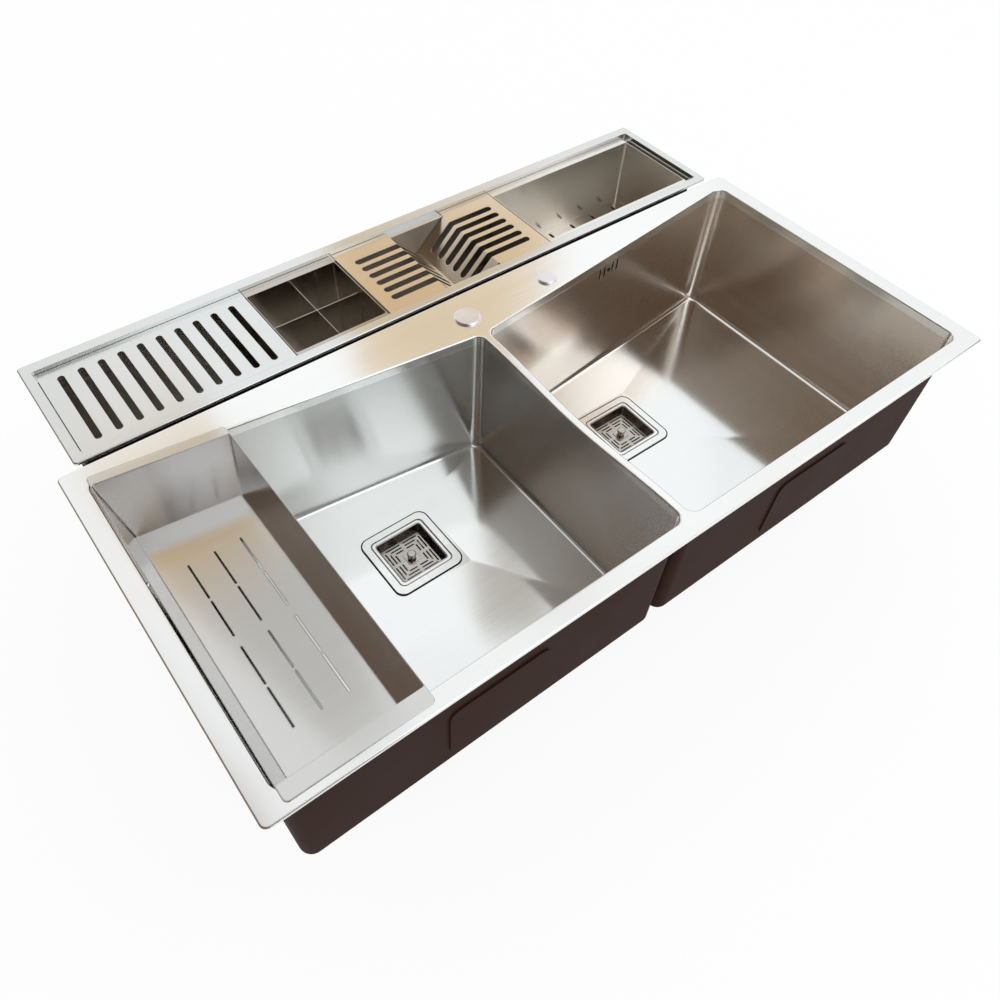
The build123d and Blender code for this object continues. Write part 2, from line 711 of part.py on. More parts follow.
def make_rack(left):
    """Plate rack: one slotted sheet with a flat at each end and a V between them."""
    right = left + rack_length
    fold_left = left + rack_flat
    fold_right = right - rack_flat
    bottom_x = (fold_left + fold_right) / 2
    slope = atan(rack_v_depth / (bottom_x - fold_left))
    bend = sheet * tan(slope / 2)
    deep = sheet / cos(slope)
    low_z = insert_top_z - rack_v_depth
    profile = [(fold_left - bend, insert_top_z), (fold_left, insert_top_z), (bottom_x, low_z),
               (fold_right, insert_top_z), (fold_right + bend, insert_top_z), (fold_right + bend, ledge_z),
               (bottom_x, low_z - deep), (fold_left - bend, ledge_z)]
    v_front = trough_front_y + box_ledge_gap
    v_width = trough_rear_y - box_ledge_gap - v_front
    fold = Plane(origin=(0, v_front, 0), x_dir=(1, 0, 0), z_dir=(0, -1, 0)) * Polygon(*profile, align=None)
    rack = extrude(fold, amount=v_width, dir=(0, 1, 0))
    rack += insert_plate(left, rack_flat - bend) + insert_plate(fold_right + bend, rack_flat - bend)
    spans = [(left + rack_slot_margin, bottom_x - rack_slot_bottom),
             (bottom_x + rack_slot_bottom, right - rack_slot_margin)]
    for index in range(rack_slots):
        y = trough_middle_y + (index - (rack_slots - 1) / 2) * rack_slot_pitch
        for start, end in spans:
            middle = (start + end) / 2
            rack -= upright_slot(middle, y, end - start, rack_slot_width, low_z - sheet, insert_top_z, False)
    return rack


def make_caddy(left):
    """Deep open caddy with drain slots along both long sides of its floor."""
    caddy = open_box(left, caddy_length, caddy_depth)
    floor_z = insert_top_z - caddy_depth
    middle = left + caddy_length / 2
    inset = box_ledge_gap + caddy_slot_inset
    rows = (trough_front_y + inset, trough_rear_y - inset)
    for index in range(caddy_slots):
        x = middle + (index - (caddy_slots - 1) / 2) * caddy_slot_pitch
        for y in rows:
            caddy -= upright_slot(x, y, caddy_slot_length, caddy_slot_width, floor_z - sheet, floor_z)
    return caddy


nodes["sink_deck"] = make_deck()
nodes["sink_rim_seal"] = make_rim_seal(-deck_length / 2, deck_length / 2, -deck_width / 2, deck_width / 2,
                                       deck_corner_radius, seal_width)
for side, name in ((-1, "left"), (1, "right")):
    nodes[name + "_bowl"] = make_bowl(side)
    nodes[name + "_undercoat"] = make_undercoat(side)
    nodes[name + "_sound_pads"] = make_pads(side)
    make_waste(side)
    make_basket(side)
make_overflow()
make_cover(0, tap_hole_y, tap_cover_diameter, tap_hole_diameter, "tap_hole_cover", "tap_cover_clip")
make_cover(small_hole_x, small_hole_y, small_cover_diameter, small_hole_diameter,
           "small_hole_cover", "small_cover_clip")
nodes["tray"] = make_tray()

make_channel()
make_channel_waste()
nodes["channel_rim_seal"] = make_rim_seal(-channel_length / 2, channel_length / 2,
                                          channel_front_y, channel_front_y + channel_width,
                                          channel_corner_radius, channel_seal_width)
drainer_x = -recess_end_x + end_ledge + insert_start_gap
spice_x = drainer_x + drainer_length + insert_gap
rack_x = spice_x + spice_length + spice_gap
caddy_x = rack_x + rack_length + insert_gap
nodes["drainer_plate"] = make_drainer(drainer_x)
nodes["spice_box"] = open_box(spice_x, spice_length, spice_depth)
nodes["spice_divider_long"], nodes["spice_divider_cross"] = make_spice_dividers(spice_x)
nodes["plate_rack"] = make_rack(rack_x)
nodes["caddy"] = make_caddy(caddy_x)

os.makedirs("parts", exist_ok=True)
for name, solid in nodes.items():
    export_step(solid, "parts/" + name + ".step")
    print(name, len(solid.solids()), round(solid.volume))
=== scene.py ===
from math import cos, pi, radians, sin

import bmesh
import bpy
from mathutils import Matrix, Vector


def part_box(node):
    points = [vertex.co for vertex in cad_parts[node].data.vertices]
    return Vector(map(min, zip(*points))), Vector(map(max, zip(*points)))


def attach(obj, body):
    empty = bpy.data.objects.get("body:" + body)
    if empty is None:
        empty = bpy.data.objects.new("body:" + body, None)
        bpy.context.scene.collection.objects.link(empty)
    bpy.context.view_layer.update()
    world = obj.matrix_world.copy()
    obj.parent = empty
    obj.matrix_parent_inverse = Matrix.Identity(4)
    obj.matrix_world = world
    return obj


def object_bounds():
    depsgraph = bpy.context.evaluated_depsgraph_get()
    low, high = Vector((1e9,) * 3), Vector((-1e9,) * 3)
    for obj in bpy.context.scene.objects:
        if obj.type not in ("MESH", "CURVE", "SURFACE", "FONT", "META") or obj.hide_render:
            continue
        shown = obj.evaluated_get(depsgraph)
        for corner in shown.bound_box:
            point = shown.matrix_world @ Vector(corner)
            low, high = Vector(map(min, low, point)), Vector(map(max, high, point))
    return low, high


bl_info = {
    "name": "Channel Sink Finishes",
    "version": (1, 0, 0),
    "blender": (4, 5, 0),
    "location": "3D View > Sidebar > Sink",
    "description": "Finishes a two-bowl sink with its accessory channel and sets its studio",
    "category": "Object",
}

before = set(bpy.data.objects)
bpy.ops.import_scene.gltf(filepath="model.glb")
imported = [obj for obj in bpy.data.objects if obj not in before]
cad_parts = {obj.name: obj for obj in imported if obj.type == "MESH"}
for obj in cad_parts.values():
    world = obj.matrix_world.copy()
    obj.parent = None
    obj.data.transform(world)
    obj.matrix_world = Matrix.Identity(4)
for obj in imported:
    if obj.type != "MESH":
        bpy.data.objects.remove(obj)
cad_low, cad_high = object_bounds()
MM = 0.001

# A face counts as level, or as an end wall, when its normal is within about 45 degrees of upright or of X.
square_on = 0.7

# Thin trim: the dark lips painted as the shadow gap round the waste flanges, and the beads of the baskets.
flange_corner = 14 * MM
shadow_lip_radius = 0.7 * MM
shadow_lip_reach = 0.8 * shadow_lip_radius
rim_depth = 0.7 * MM
corner_steps = 6
section_points = 12

# Studio, in metres and as shares of a card or of the picture.
white = (1.0, 1.0, 1.0, 1.0)
floor_gap = 0.5 * MM
floor_reach = 12.0
floor_glow = 0.9
lamp_target = Vector((0, 0, -0.1))
card_distance = 2.3
card_fade = 0.14
camera_place = Vector((-0.5652, -0.5336, 0.7731))
camera_right = Vector((0.79649, -0.604, 0.02807))
camera_ahead = Vector((0.37861, 0.46199, -0.80201))
picture_shift = (0.0199, 0.0208)


def linear(code):
    """Linear red, green and blue of an sRGB hex colour."""
    channels = [int(code[place:place + 2], 16) / 255 for place in (1, 3, 5)]
    return tuple(c / 12.92 if c <= 0.04045 else ((c + 0.055) / 1.055) ** 2.4 for c in channels)


def rgba(colour, share=1.0):
    """Colour with full alpha, as node sockets take it, scaled by a share and never past white."""
    return (*(min(1.0, share * c) for c in colour), 1.0)


def add(tree, kind, inputs=None, **settings):
    """Adds a node with its settings; an input is a value, or a socket to link from."""
    made = tree.nodes.new(kind)
    for key, value in settings.items():
        setattr(made, key, value)
    for key, value in (inputs or {}).items():
        socket = made.inputs[key]
        if isinstance(value, bpy.types.NodeSocket):
            tree.links.new(value, socket)
        else:
            socket.default_value = value
    return made


def new_material(name):
    """Empty node material and its tree."""
    material = bpy.data.materials.new(name)
    material.use_nodes = True
    material.node_tree.nodes.clear()
    return material, material.node_tree


def close_material(tree, shader):
    """Sends a shader to the material's output."""
    add(tree, "ShaderNodeOutputMaterial", {"Surface": shader.outputs[0]})


def dress(material, *names):
    """Gives CAD nodes their finish."""
    for name in names:
        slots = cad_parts[name].data.materials
        slots.clear()
        slots.append(material)


def rounded_square(x, y, half, radius, z):
    """Level loop of points round a square with rounded corners, each with its outward direction."""
    path = []
    for corner in range(4):
        turn = corner * pi / 2
        reach = half - radius
        middle = Vector((x, y, z)) + Matrix.Rotation(turn, 3, "Z") @ Vector((reach, reach, 0))
        for step in range(corner_steps + 1):
            angle = turn + step * pi / (2 * corner_steps)
            out = Vector((cos(angle), sin(angle), 0))
            path.append((middle + radius * out, out))
    return path


def swept_ring(context, name, path, section, material):
    """Closed ring: a section of outward and upward offsets carried round a level loop."""
    mesh = bpy.data.meshes.new(name)
    made = bmesh.new()
    rows = [[made.verts.new(spot + across * out + Vector((0, 0, up))) for across, up in section]
            for spot, out in path]
    for row, ahead in zip(rows, rows[1:] + rows[:1]):
        for place in range(len(section)):
            after = (place + 1) % len(section)
            face = made.faces.new((row[place], ahead[place], ahead[after], row[after]))
            face.smooth = True
    bmesh.ops.recalc_face_normals(made, faces=made.faces)
    made.to_mesh(mesh)
    made.free()
    mesh.materials.append(material)
    piece = bpy.data.objects.new(name, mesh)
    context.scene.collection.objects.link(piece)
    return piece


def square_bead(context, name, node, material, radius, corner, reach, rise=0.0):
    """Round bead along a rounded square, a reach outside a CAD node's edge and a rise above its top."""
    low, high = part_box(node)
    x, y = [(a + b) / 2 for a, b in zip(low[:2], high[:2])]
    half = (high[0] - low[0]) / 2 + reach
    path = rounded_square(x, y, half, corner, high[2] + rise)
    turn = 2 * pi / section_points
    section = [(radius * cos(t * turn), radius * sin(t * turn)) for t in range(section_points)]
    return swept_ring(context, name, path, section, material)


class SinkFinish(bpy.types.PropertyGroup):
    """Colours and grain of the sink's metals and coats."""

    deck_colour: bpy.props.FloatVectorProperty(
        name="Deck steel", description="Colour of the rim and the rear ledge",
        subtype="COLOR", size=3, min=0, max=1, default=linear("#f1f3f3"))
    bowl_colour: bpy.props.FloatVectorProperty(
        name="Bowl steel", description="Colour of the bowls' floors and of the rims of wastes and baskets",
        subtype="COLOR", size=3, min=0, max=1, default=linear("#ecefef"))
    # Painted reflection: the left bowl's upright walls are drawn a little darker than its floor.
    left_wall_painted_reflection: bpy.props.FloatVectorProperty(
        name="Left bowl walls", description="Colour of the left bowl's upright walls",
        subtype="COLOR", size=3, min=0, max=1, default=linear("#dddfde"))
    # Painted reflection: the right bowl's upright walls are drawn warmer than its floor, as the brown room
    # they face.
    right_wall_painted_reflection: bpy.props.FloatVectorProperty(
        name="Right bowl walls", description="Colour of the right bowl's upright walls",
        subtype="COLOR", size=3, min=0, max=1, default=linear("#e2dbd3"))
    tray_colour: bpy.props.FloatVectorProperty(
        name="Tray steel", description="Colour of the lift-out tray's floor and flanges",
        subtype="COLOR", size=3, min=0, max=1, default=linear("#d6d6d5"))
    # Painted reflection: the tray's upright walls are drawn a little lighter than its floor.
    tray_wall_painted_reflection: bpy.props.FloatVectorProperty(
        name="Tray walls", description="Colour of the lift-out tray's upright walls",
        subtype="COLOR", size=3, min=0, max=1, default=linear("#dcdcdc"))
    channel_colour: bpy.props.FloatVectorProperty(
        name="Channel steel", description="Colour of the channel's rim and drainer",
        subtype="COLOR", size=3, min=0, max=1, default=linear("#dcdfdf"))
    trough_colour: bpy.props.FloatVectorProperty(
        name="Trough steel", description="Colour of the channel's trough",
        subtype="COLOR", size=3, min=0, max=1, default=linear("#c6c0b7"))
    # Partly painted reflection: the rack's steel is tinted yellow, as the warm room it faces.
    rack_colour_and_reflection: bpy.props.FloatVectorProperty(
        name="Rack steel", description="Colour of the plate rack",
        subtype="COLOR", size=3, min=0, max=1, default=linear("#e3d8c6"))
    # Partly painted reflection: the caddy's steel is tinted warm, as the room it faces.
    caddy_colour_and_reflection: bpy.props.FloatVectorProperty(
        name="Caddy steel", description="Colour of the caddy",
        subtype="COLOR", size=3, min=0, max=1, default=linear("#e6e4df"))
    insert_colour: bpy.props.FloatVectorProperty(
        name="Spice box steel", description="Colour of the spice box and its dividers",
        subtype="COLOR", size=3, min=0, max=1, default=linear("#c0bbb4"))
    polish_colour: bpy.props.FloatVectorProperty(
        name="Polished steel", description="Colour of basket floors, beads and knobs and the channel waste",
        subtype="COLOR", size=3, min=0, max=1, default=linear("#b9b5b0"))
    # Painted shade: the walls inside baskets and wastes are drawn dark as the shade in their cups.
    basket_wall_painted_shade: bpy.props.FloatVectorProperty(
        name="Basket steel", description="Colour of the drawn walls of baskets and wastes",
        subtype="COLOR", size=3, min=0, max=1, default=linear("#877f77"))
    chrome_colour: bpy.props.FloatVectorProperty(
        name="Chrome", description="Colour of the hole covers",
        subtype="COLOR", size=3, min=0, max=1, default=linear("#f0f2fb"))
    coat_colour: bpy.props.FloatVectorProperty(
        name="Sound coat", description="Colour of the coat sprayed on the outside",
        subtype="COLOR", size=3, min=0, max=1, default=linear("#341f17"))
    grain_length: bpy.props.FloatProperty(
        name="Grain length", description="Length of one brush mark",
        unit="LENGTH", min=0.01, default=140 * MM)
    grain_width: bpy.props.FloatProperty(
        name="Grain width", description="Width of one brush mark as drawn",
        unit="LENGTH", min=0.0002, default=1.1 * MM)


class SinkStage(bpy.types.PropertyGroup):
    """Floor, light and camera of the studio."""

    floor_colour: bpy.props.FloatVectorProperty(
        name="Floor", description="Colour of the floor",
        subtype="COLOR", size=3, min=0, max=1, default=linear("#fafafa"))
    soft_light: bpy.props.FloatProperty(
        name="Soft light", description="Strength of the even light from all round",
        min=0, default=0.95)
    key_power: bpy.props.FloatProperty(
        name="Key light", description="Power of the softbox at the rear",
        unit="POWER", min=0, default=1.5)
    fill_power: bpy.props.FloatProperty(
        name="Fill light", description="Power of each smaller softbox",
        unit="POWER", min=0, default=4.2)
    lens: bpy.props.FloatProperty(
        name="Lens", description="Focal length on a 36 mm sensor, in millimetres",
        min=1, default=29.81)


def sheet_faces(tree):
    """Masks of the level faces and of the end walls of folded sheet."""
    normal = add(tree, "ShaderNodeNewGeometry").outputs["Normal"]
    facing = add(tree, "ShaderNodeSeparateXYZ", {0: normal}).outputs
    masks = []
    for axis in ("Z", "X"):
        size = add(tree, "ShaderNodeMath", {0: facing[axis]}, operation="ABSOLUTE").outputs[0]
        mask = add(tree, "ShaderNodeMath", {0: size, 1: square_on}, operation="GREATER_THAN").outputs[0]
        masks.append(mask)
    return masks


def brush_marks(tree, place, end_wall, settings):
    """Height of the brush marks, and the tone that they and the broader bands of the belt give."""
    # End walls are brushed along their own length, so the marks there run along Y.
    axes = add(tree, "ShaderNodeSeparateXYZ", {0: place}).outputs
    turned = add(tree, "ShaderNodeCombineXYZ", {"X": axes["Y"], "Y": axes["X"], "Z": axes["Z"]}).outputs[0]
    along = add(tree, "ShaderNodeMix", {0: end_wall, 4: place, 5: turned}, data_type="VECTOR").outputs[1]
    long, fine = 1 / settings.grain_length, 1 / settings.grain_width
    marks = add(tree, "ShaderNodeMapping", {"Vector": along, "Scale": (long, fine, fine)}).outputs[0]
    streak = add(tree, "ShaderNodeTexNoise",
                 {"Vector": marks, "Scale": 1.0, "Detail": 3.0, "Roughness": 0.6}).outputs[0]
    # A band is as long as four marks and as wide as fourteen.
    longer, wider = long / 4, fine / 14
    bands = add(tree, "ShaderNodeMapping", {"Vector": along, "Scale": (longer, wider, wider)}).outputs[0]
    band = add(tree, "ShaderNodeTexNoise", {"Vector": bands, "Scale": 1.0, "Detail": 2.0}).outputs[0]
    band_share = 0.4
    tone = add(tree, "ShaderNodeMix", {0: band_share, 2: streak, 3: band}).outputs[0]
    return streak, tone


def brushed_steel(name, colour, settings, roughness, wall=None, dull=0.0, bend=0.9 * MM, groove=0.03):
    """Stainless steel sheet, belt-brushed along the sink; upright faces may take a painted reflection colour
    and differ in gloss.
    """
    # Brushing gives the eye fine parallel streaks that differ a little in tone and gloss, and highlights
    # that are drawn out across them. Real marks are about 0.1 mm wide; they are drawn wider to show.
    material, tree = new_material(name)
    place = add(tree, "ShaderNodeTexCoord").outputs["Object"]
    level, end_wall = sheet_faces(tree)
    streak, tone = brush_marks(tree, place, end_wall, settings)
    darker, lighter = 0.95, 1.04
    # Upright faces may take their own colour instead of the level faces' colour: a painted reflection of the
    # room the walls face.
    shades = []
    for face in (wall or colour, colour):
        tints = {0: tone, 6: rgba(face, darker), 7: rgba(face, lighter)}
        shades.append(add(tree, "ShaderNodeMix", tints, data_type="RGBA").outputs[2])
    shade = add(tree, "ShaderNodeMix", {0: level, 6: shades[0], 7: shades[1]}, data_type="RGBA").outputs[2]
    # Wiping leaves patches about 90 mm across that are a little duller.
    wiped = add(tree, "ShaderNodeTexNoise",
                {"Vector": place, "Scale": 1 / (90 * MM), "Detail": 4.0}).outputs[0]
    worn = add(tree, "ShaderNodeMath", {0: wiped, 1: 0.35, 2: tone}, operation="MULTIPLY_ADD").outputs[0]
    upright = roughness + dull
    gloss = add(tree, "ShaderNodeMapRange",
                {"Value": worn, "From Min": 0.3, "From Max": 1.0,
                 "To Min": upright - 0.03, "To Max": upright + 0.04}).outputs[0]
    gloss = add(tree, "ShaderNodeMath", {0: level, 1: -dull, 2: gloss}, operation="MULTIPLY_ADD").outputs[0]
    soft_edge = add(tree, "ShaderNodeBevel", {"Radius": bend}, samples=4).outputs[0]
    marked = add(tree, "ShaderNodeBump",
                 {"Height": streak, "Strength": groove, "Distance": 0.05 * MM,
                  "Normal": soft_edge}).outputs[0]
    # Marks run along each face, so across them is upwards on walls and along Y on level faces.
    turns = {0: level, 4: (0, 0, 1), 5: (0, 1, 0)}
    across = add(tree, "ShaderNodeMix", turns, data_type="VECTOR").outputs[1]
    shader = add(tree, "ShaderNodeBsdfPrincipled",
                 {"Base Color": shade, "Metallic": 1.0, "Roughness": gloss, "Anisotropic": 0.85,
                  "Tangent": across, "Normal": marked})
    close_material(tree, shader)
    return material


def polished_metal(name, colour, roughness):
    """Pressed or plated metal, buffed: mirror-like with faint hairline scratches."""
    # Buffing gives clear reflections, softened here and there by hairlines, which are drawn wider to show.
    material, tree = new_material(name)
    place = add(tree, "ShaderNodeTexCoord").outputs["Object"]
    hairline_length, hairline_width = 4 * MM, 0.5 * MM
    scale = (1 / hairline_length, 1 / hairline_width, 1 / hairline_width)
    lines = add(tree, "ShaderNodeMapping",
                {"Vector": place, "Rotation": (0.3, 0.2, 0.7), "Scale": scale}).outputs[0]
    hairline = add(tree, "ShaderNodeTexNoise", {"Vector": lines, "Scale": 1.0, "Detail": 2.0}).outputs[0]
    haze = add(tree, "ShaderNodeTexNoise",
               {"Vector": place, "Scale": 1 / (22 * MM), "Detail": 3.0}).outputs[0]
    mixed = add(tree, "ShaderNodeMath", {0: hairline, 1: 0.5, 2: haze}, operation="MULTIPLY_ADD").outputs[0]
    gloss = add(tree, "ShaderNodeMapRange",
                {"Value": mixed, "From Min": 0.4, "From Max": 1.1,
                 "To Min": roughness * 0.7, "To Max": roughness * 1.5}).outputs[0]
    darker = 0.92
    tints = {0: haze, 6: rgba(colour, darker), 7: rgba(colour)}
    shade = add(tree, "ShaderNodeMix", tints, data_type="RGBA").outputs[2]
    soft_edge = add(tree, "ShaderNodeBevel", {"Radius": 0.4 * MM}, samples=4).outputs[0]
    shader = add(tree, "ShaderNodeBsdfPrincipled",
                 {"Base Color": shade, "Metallic": 1.0, "Roughness": gloss, "Normal": soft_edge})
    close_material(tree, shader)
    return material


def drawn_steel_painted_shade(name, top, walls, floor, height):
    """Deep-drawn stainless steel: bright above a height, with walls below it painted dark as the shade in
    the cup, and a satin floor.
    """
    # The walls inside the cup are painted dark as shade, and only the rim above the height keeps the bright
    # top colour.
    material, tree = new_material(name)
    place = add(tree, "ShaderNodeTexCoord").outputs["Object"]
    depth = add(tree, "ShaderNodeSeparateXYZ", {0: place}).outputs["Z"]
    normal = add(tree, "ShaderNodeNewGeometry").outputs["Normal"]
    upward = add(tree, "ShaderNodeSeparateXYZ", {0: normal}).outputs["Z"]
    flat_enough = 0.6
    level = add(tree, "ShaderNodeMath", {0: upward, 1: flat_enough}, operation="GREATER_THAN").outputs[0]
    rim = add(tree, "ShaderNodeMath", {0: depth, 1: height}, operation="GREATER_THAN").outputs[0]
    haze = add(tree, "ShaderNodeTexNoise",
               {"Vector": place, "Scale": 1 / (6 * MM), "Detail": 3.0}).outputs[0]
    # Painted shade: upright faces below the rim take the dark wall colour, level ones the floor colour.
    tints = {0: level, 6: rgba(walls), 7: rgba(floor)}
    painted_shade_below = add(tree, "ShaderNodeMix", tints, data_type="RGBA").outputs[2]
    shade = add(tree, "ShaderNodeMix", {0: rim, 6: painted_shade_below, 7: rgba(top)}, data_type="RGBA").outputs[2]
    gloss = add(tree, "ShaderNodeMapRange",
                {"Value": haze, "From Min": 0.3, "From Max": 0.7, "To Min": 0.12, "To Max": 0.24}).outputs[0]
    soft_edge = add(tree, "ShaderNodeBevel", {"Radius": 0.5 * MM}, samples=4).outputs[0]
    shader = add(tree, "ShaderNodeBsdfPrincipled",
                 {"Base Color": shade, "Metallic": 1.0, "Roughness": gloss, "Normal": soft_edge})
    close_material(tree, shader)
    return material


def moulded(name, colour, roughness, grit, depth, shine=0.5):
    """Sprayed, moulded or foamed surface: one colour with a fine grit and a soft sheen."""
    # Spray, mould grain and foam cells all break the highlight up; their grit and depth differ.
    material, tree = new_material(name)
    place = add(tree, "ShaderNodeTexCoord").outputs["Object"]
    speck = add(tree, "ShaderNodeTexNoise",
                {"Vector": place, "Scale": 1 / grit, "Detail": 4.0, "Roughness": 0.65}).outputs[0]
    cloud = add(tree, "ShaderNodeTexNoise",
                {"Vector": place, "Scale": 1 / (120 * MM), "Detail": 3.0}).outputs[0]
    tone = add(tree, "ShaderNodeMath", {0: speck, 1: 0.5, 2: cloud}, operation="MULTIPLY_ADD").outputs[0]
    darkest, lightest = 0.45, 1.05
    spread = add(tree, "ShaderNodeMapRange",
                 {"Value": tone, "From Min": darkest, "From Max": lightest}).outputs[0]
    darker, lighter = 0.8, 1.18
    tints = {0: spread, 6: rgba(colour, darker), 7: rgba(colour, lighter)}
    shade = add(tree, "ShaderNodeMix", tints, data_type="RGBA").outputs[2]
    gloss = add(tree, "ShaderNodeMapRange",
                {"Value": tone, "From Min": darkest, "From Max": lightest,
                 "To Min": roughness - 0.05, "To Max": roughness + 0.07}).outputs[0]
    grain = add(tree, "ShaderNodeBump", {"Height": speck, "Strength": 0.35, "Distance": depth}).outputs[0]
    shader = add(tree, "ShaderNodeBsdfPrincipled",
                 {"Base Color": shade, "Roughness": gloss, "Specular IOR Level": shine, "Normal": grain})
    close_material(tree, shader)
    return material


class SINK_OT_deck(bpy.types.Operator):
    """Brushes the deck, with its ledge and divider, along the sink"""

    bl_idname = "sink.deck"
    bl_label = "Deck"

    def execute(self, context):
        finish = context.scene.sink_finish
        steel = brushed_steel("deck_brushed_stainless", finish.deck_colour, finish, roughness=0.17)
        dress(steel, "sink_deck")
        return {"FINISHED"}


class SINK_OT_bowls(bpy.types.Operator):
    """Brushes the two folded bowls"""

    bl_idname = "sink.bowls"
    bl_label = "Bowls"

    def execute(self, context):
        finish = context.scene.sink_finish
        # The bowls' walls take a painted reflection colour: the right bowl's a little warmer, the left
        # bowl's a little darker; the left bowl's walls are also duller.
        sides = (("left", finish.left_wall_painted_reflection, 0.13), ("right", finish.right_wall_painted_reflection, 0.06))
        for side, walls, dull in sides:
            steel = brushed_steel(side + "_bowl_brushed_stainless", finish.bowl_colour, finish,
                                  roughness=0.11, wall=walls, dull=dull)
            dress(steel, side + "_bowl")
        return {"FINISHED"}


class SINK_OT_coats(bpy.types.Operator):
    """Sprays the sound coat and its pads on the outside"""

    bl_idname = "sink.coats"
    bl_label = "Sound coats and pads"

    def execute(self, context):
        finish = context.scene.sink_finish
        coat = moulded("sprayed_sound_coat", finish.coat_colour,
                       roughness=0.6, grit=2.2 * MM, depth=0.12 * MM, shine=0.06)
        dress(coat, "left_undercoat", "right_undercoat", "channel_undercoat")
        pad = moulded("coated_damping_pad", finish.coat_colour,
                      roughness=0.6, grit=3.0 * MM, depth=0.15 * MM, shine=0.06)
        dress(pad, "left_sound_pads", "right_sound_pads")
        return {"FINISHED"}


class SINK_OT_wastes(bpy.types.Operator):
    """Finishes the square wastes, their seals and the fittings under them"""

    bl_idname = "sink.wastes"
    bl_label = "Wastes"

    def execute(self, context):
        finish = context.scene.sink_finish
        steel = polished_metal("polished_waste_steel", finish.polish_colour, roughness=0.2)
        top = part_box("left_waste_flange")[1][2]
        # Below its top the waste flange is painted dark, as the shade in its rebate and outlet.
        flange = drawn_steel_painted_shade("waste_steel_painted_shade", top=finish.bowl_colour, walls=finish.basket_wall_painted_shade,
                             floor=finish.basket_wall_painted_shade, height=top - rim_depth)
        rubber = moulded("black_nitrile_rubber", linear("#1c1b1a"),
                         roughness=0.7, grit=1.2 * MM, depth=0.06 * MM)
        black = moulded("black_polypropylene", linear("#232222"),
                        roughness=0.45, grit=0.9 * MM, depth=0.03 * MM)
        white_plastic = moulded("white_polypropylene", linear("#dedcd6"),
                                roughness=0.4, grit=0.9 * MM, depth=0.02 * MM)
        for side in ("left", "right"):
            dress(flange, side + "_waste_flange")
            dress(rubber, side + "_waste_gasket")
            # A thin dark lip of the seal's rubber runs all round the flange's edge, a painted shadow that
            # stands in for the shade gap there.
            piece = square_bead(context, side + "_painted_shadow_lip", side + "_waste_flange", rubber,
                                radius=shadow_lip_radius, corner=flange_corner, reach=shadow_lip_reach, rise=-shadow_lip_radius)
            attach(piece, "sink")
            dress(black, side + "_waste_nut")
            dress(white_plastic, side + "_tail_pipe", side + "_tail_nut")
        dress(steel, "channel_waste")
        dress(polished_metal("blackened_screw_steel", linear("#3a3633"), roughness=0.3), "overflow_screw")
        dress(rubber, "channel_waste_gasket", "overflow_seal")
        dress(black, "channel_waste_nut", "overflow_box")
        dress(white_plastic, "tap_cover_clip", "small_cover_clip")
        return {"FINISHED"}


class SINK_OT_baskets(bpy.types.Operator):
    """Finishes the strainer baskets, their rolled mouths and their knobs"""

    bl_idname = "sink.baskets"
    bl_label = "Strainer baskets"

    def execute(self, context):
        finish = context.scene.sink_finish
        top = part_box("left_basket")[1][2]
        # Below its mouth the basket's walls are painted dark, as the shade inside it.
        steel = drawn_steel_painted_shade("basket_steel_painted_shade", top=finish.bowl_colour, walls=finish.basket_wall_painted_shade,
                            floor=finish.polish_colour, height=top - rim_depth)
        bright = polished_metal("polished_rim_steel", finish.polish_colour, roughness=0.1)
        # The pressed mouth is rolled over into two beads; each has its inset, radius and corner.
        beads = (
            ("mouth_bead", 5.5 * MM, 0.8 * MM, 4.85 * MM),
            ("edge_bead", 0.7 * MM, 0.6 * MM, 6.9 * MM),
        )
        for side in ("left", "right"):
            basket = side + "_basket"
            dress(steel, basket)
            dress(bright, basket + "_knob")
            for label, inset, radius, corner in beads:
                piece = square_bead(context, basket + "_" + label, basket, bright,
                                    radius=radius, corner=corner, reach=-inset)
                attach(piece, basket)
        return {"FINISHED"}


class SINK_OT_covers(bpy.types.Operator):
    """Plates the hole covers"""

    bl_idname = "sink.covers"
    bl_label = "Hole covers"

    def execute(self, context):
        finish = context.scene.sink_finish
        plating = polished_metal("chrome_plate", finish.chrome_colour, roughness=0.28)
        dress(plating, "tap_hole_cover", "small_hole_cover")
        return {"FINISHED"}


class SINK_OT_tray(bpy.types.Operator):
    """Brushes the lift-out tray"""

    bl_idname = "sink.tray"
    bl_label = "Tray"

    def execute(self, context):
        finish = context.scene.sink_finish
        # The tray's walls take a painted reflection colour, a little lighter than its floor.
        steel = brushed_steel("tray_brushed_stainless", finish.tray_colour, finish,
                              roughness=0.13, wall=finish.tray_wall_painted_reflection, bend=2.2 * MM)
        dress(steel, "tray")
        return {"FINISHED"}


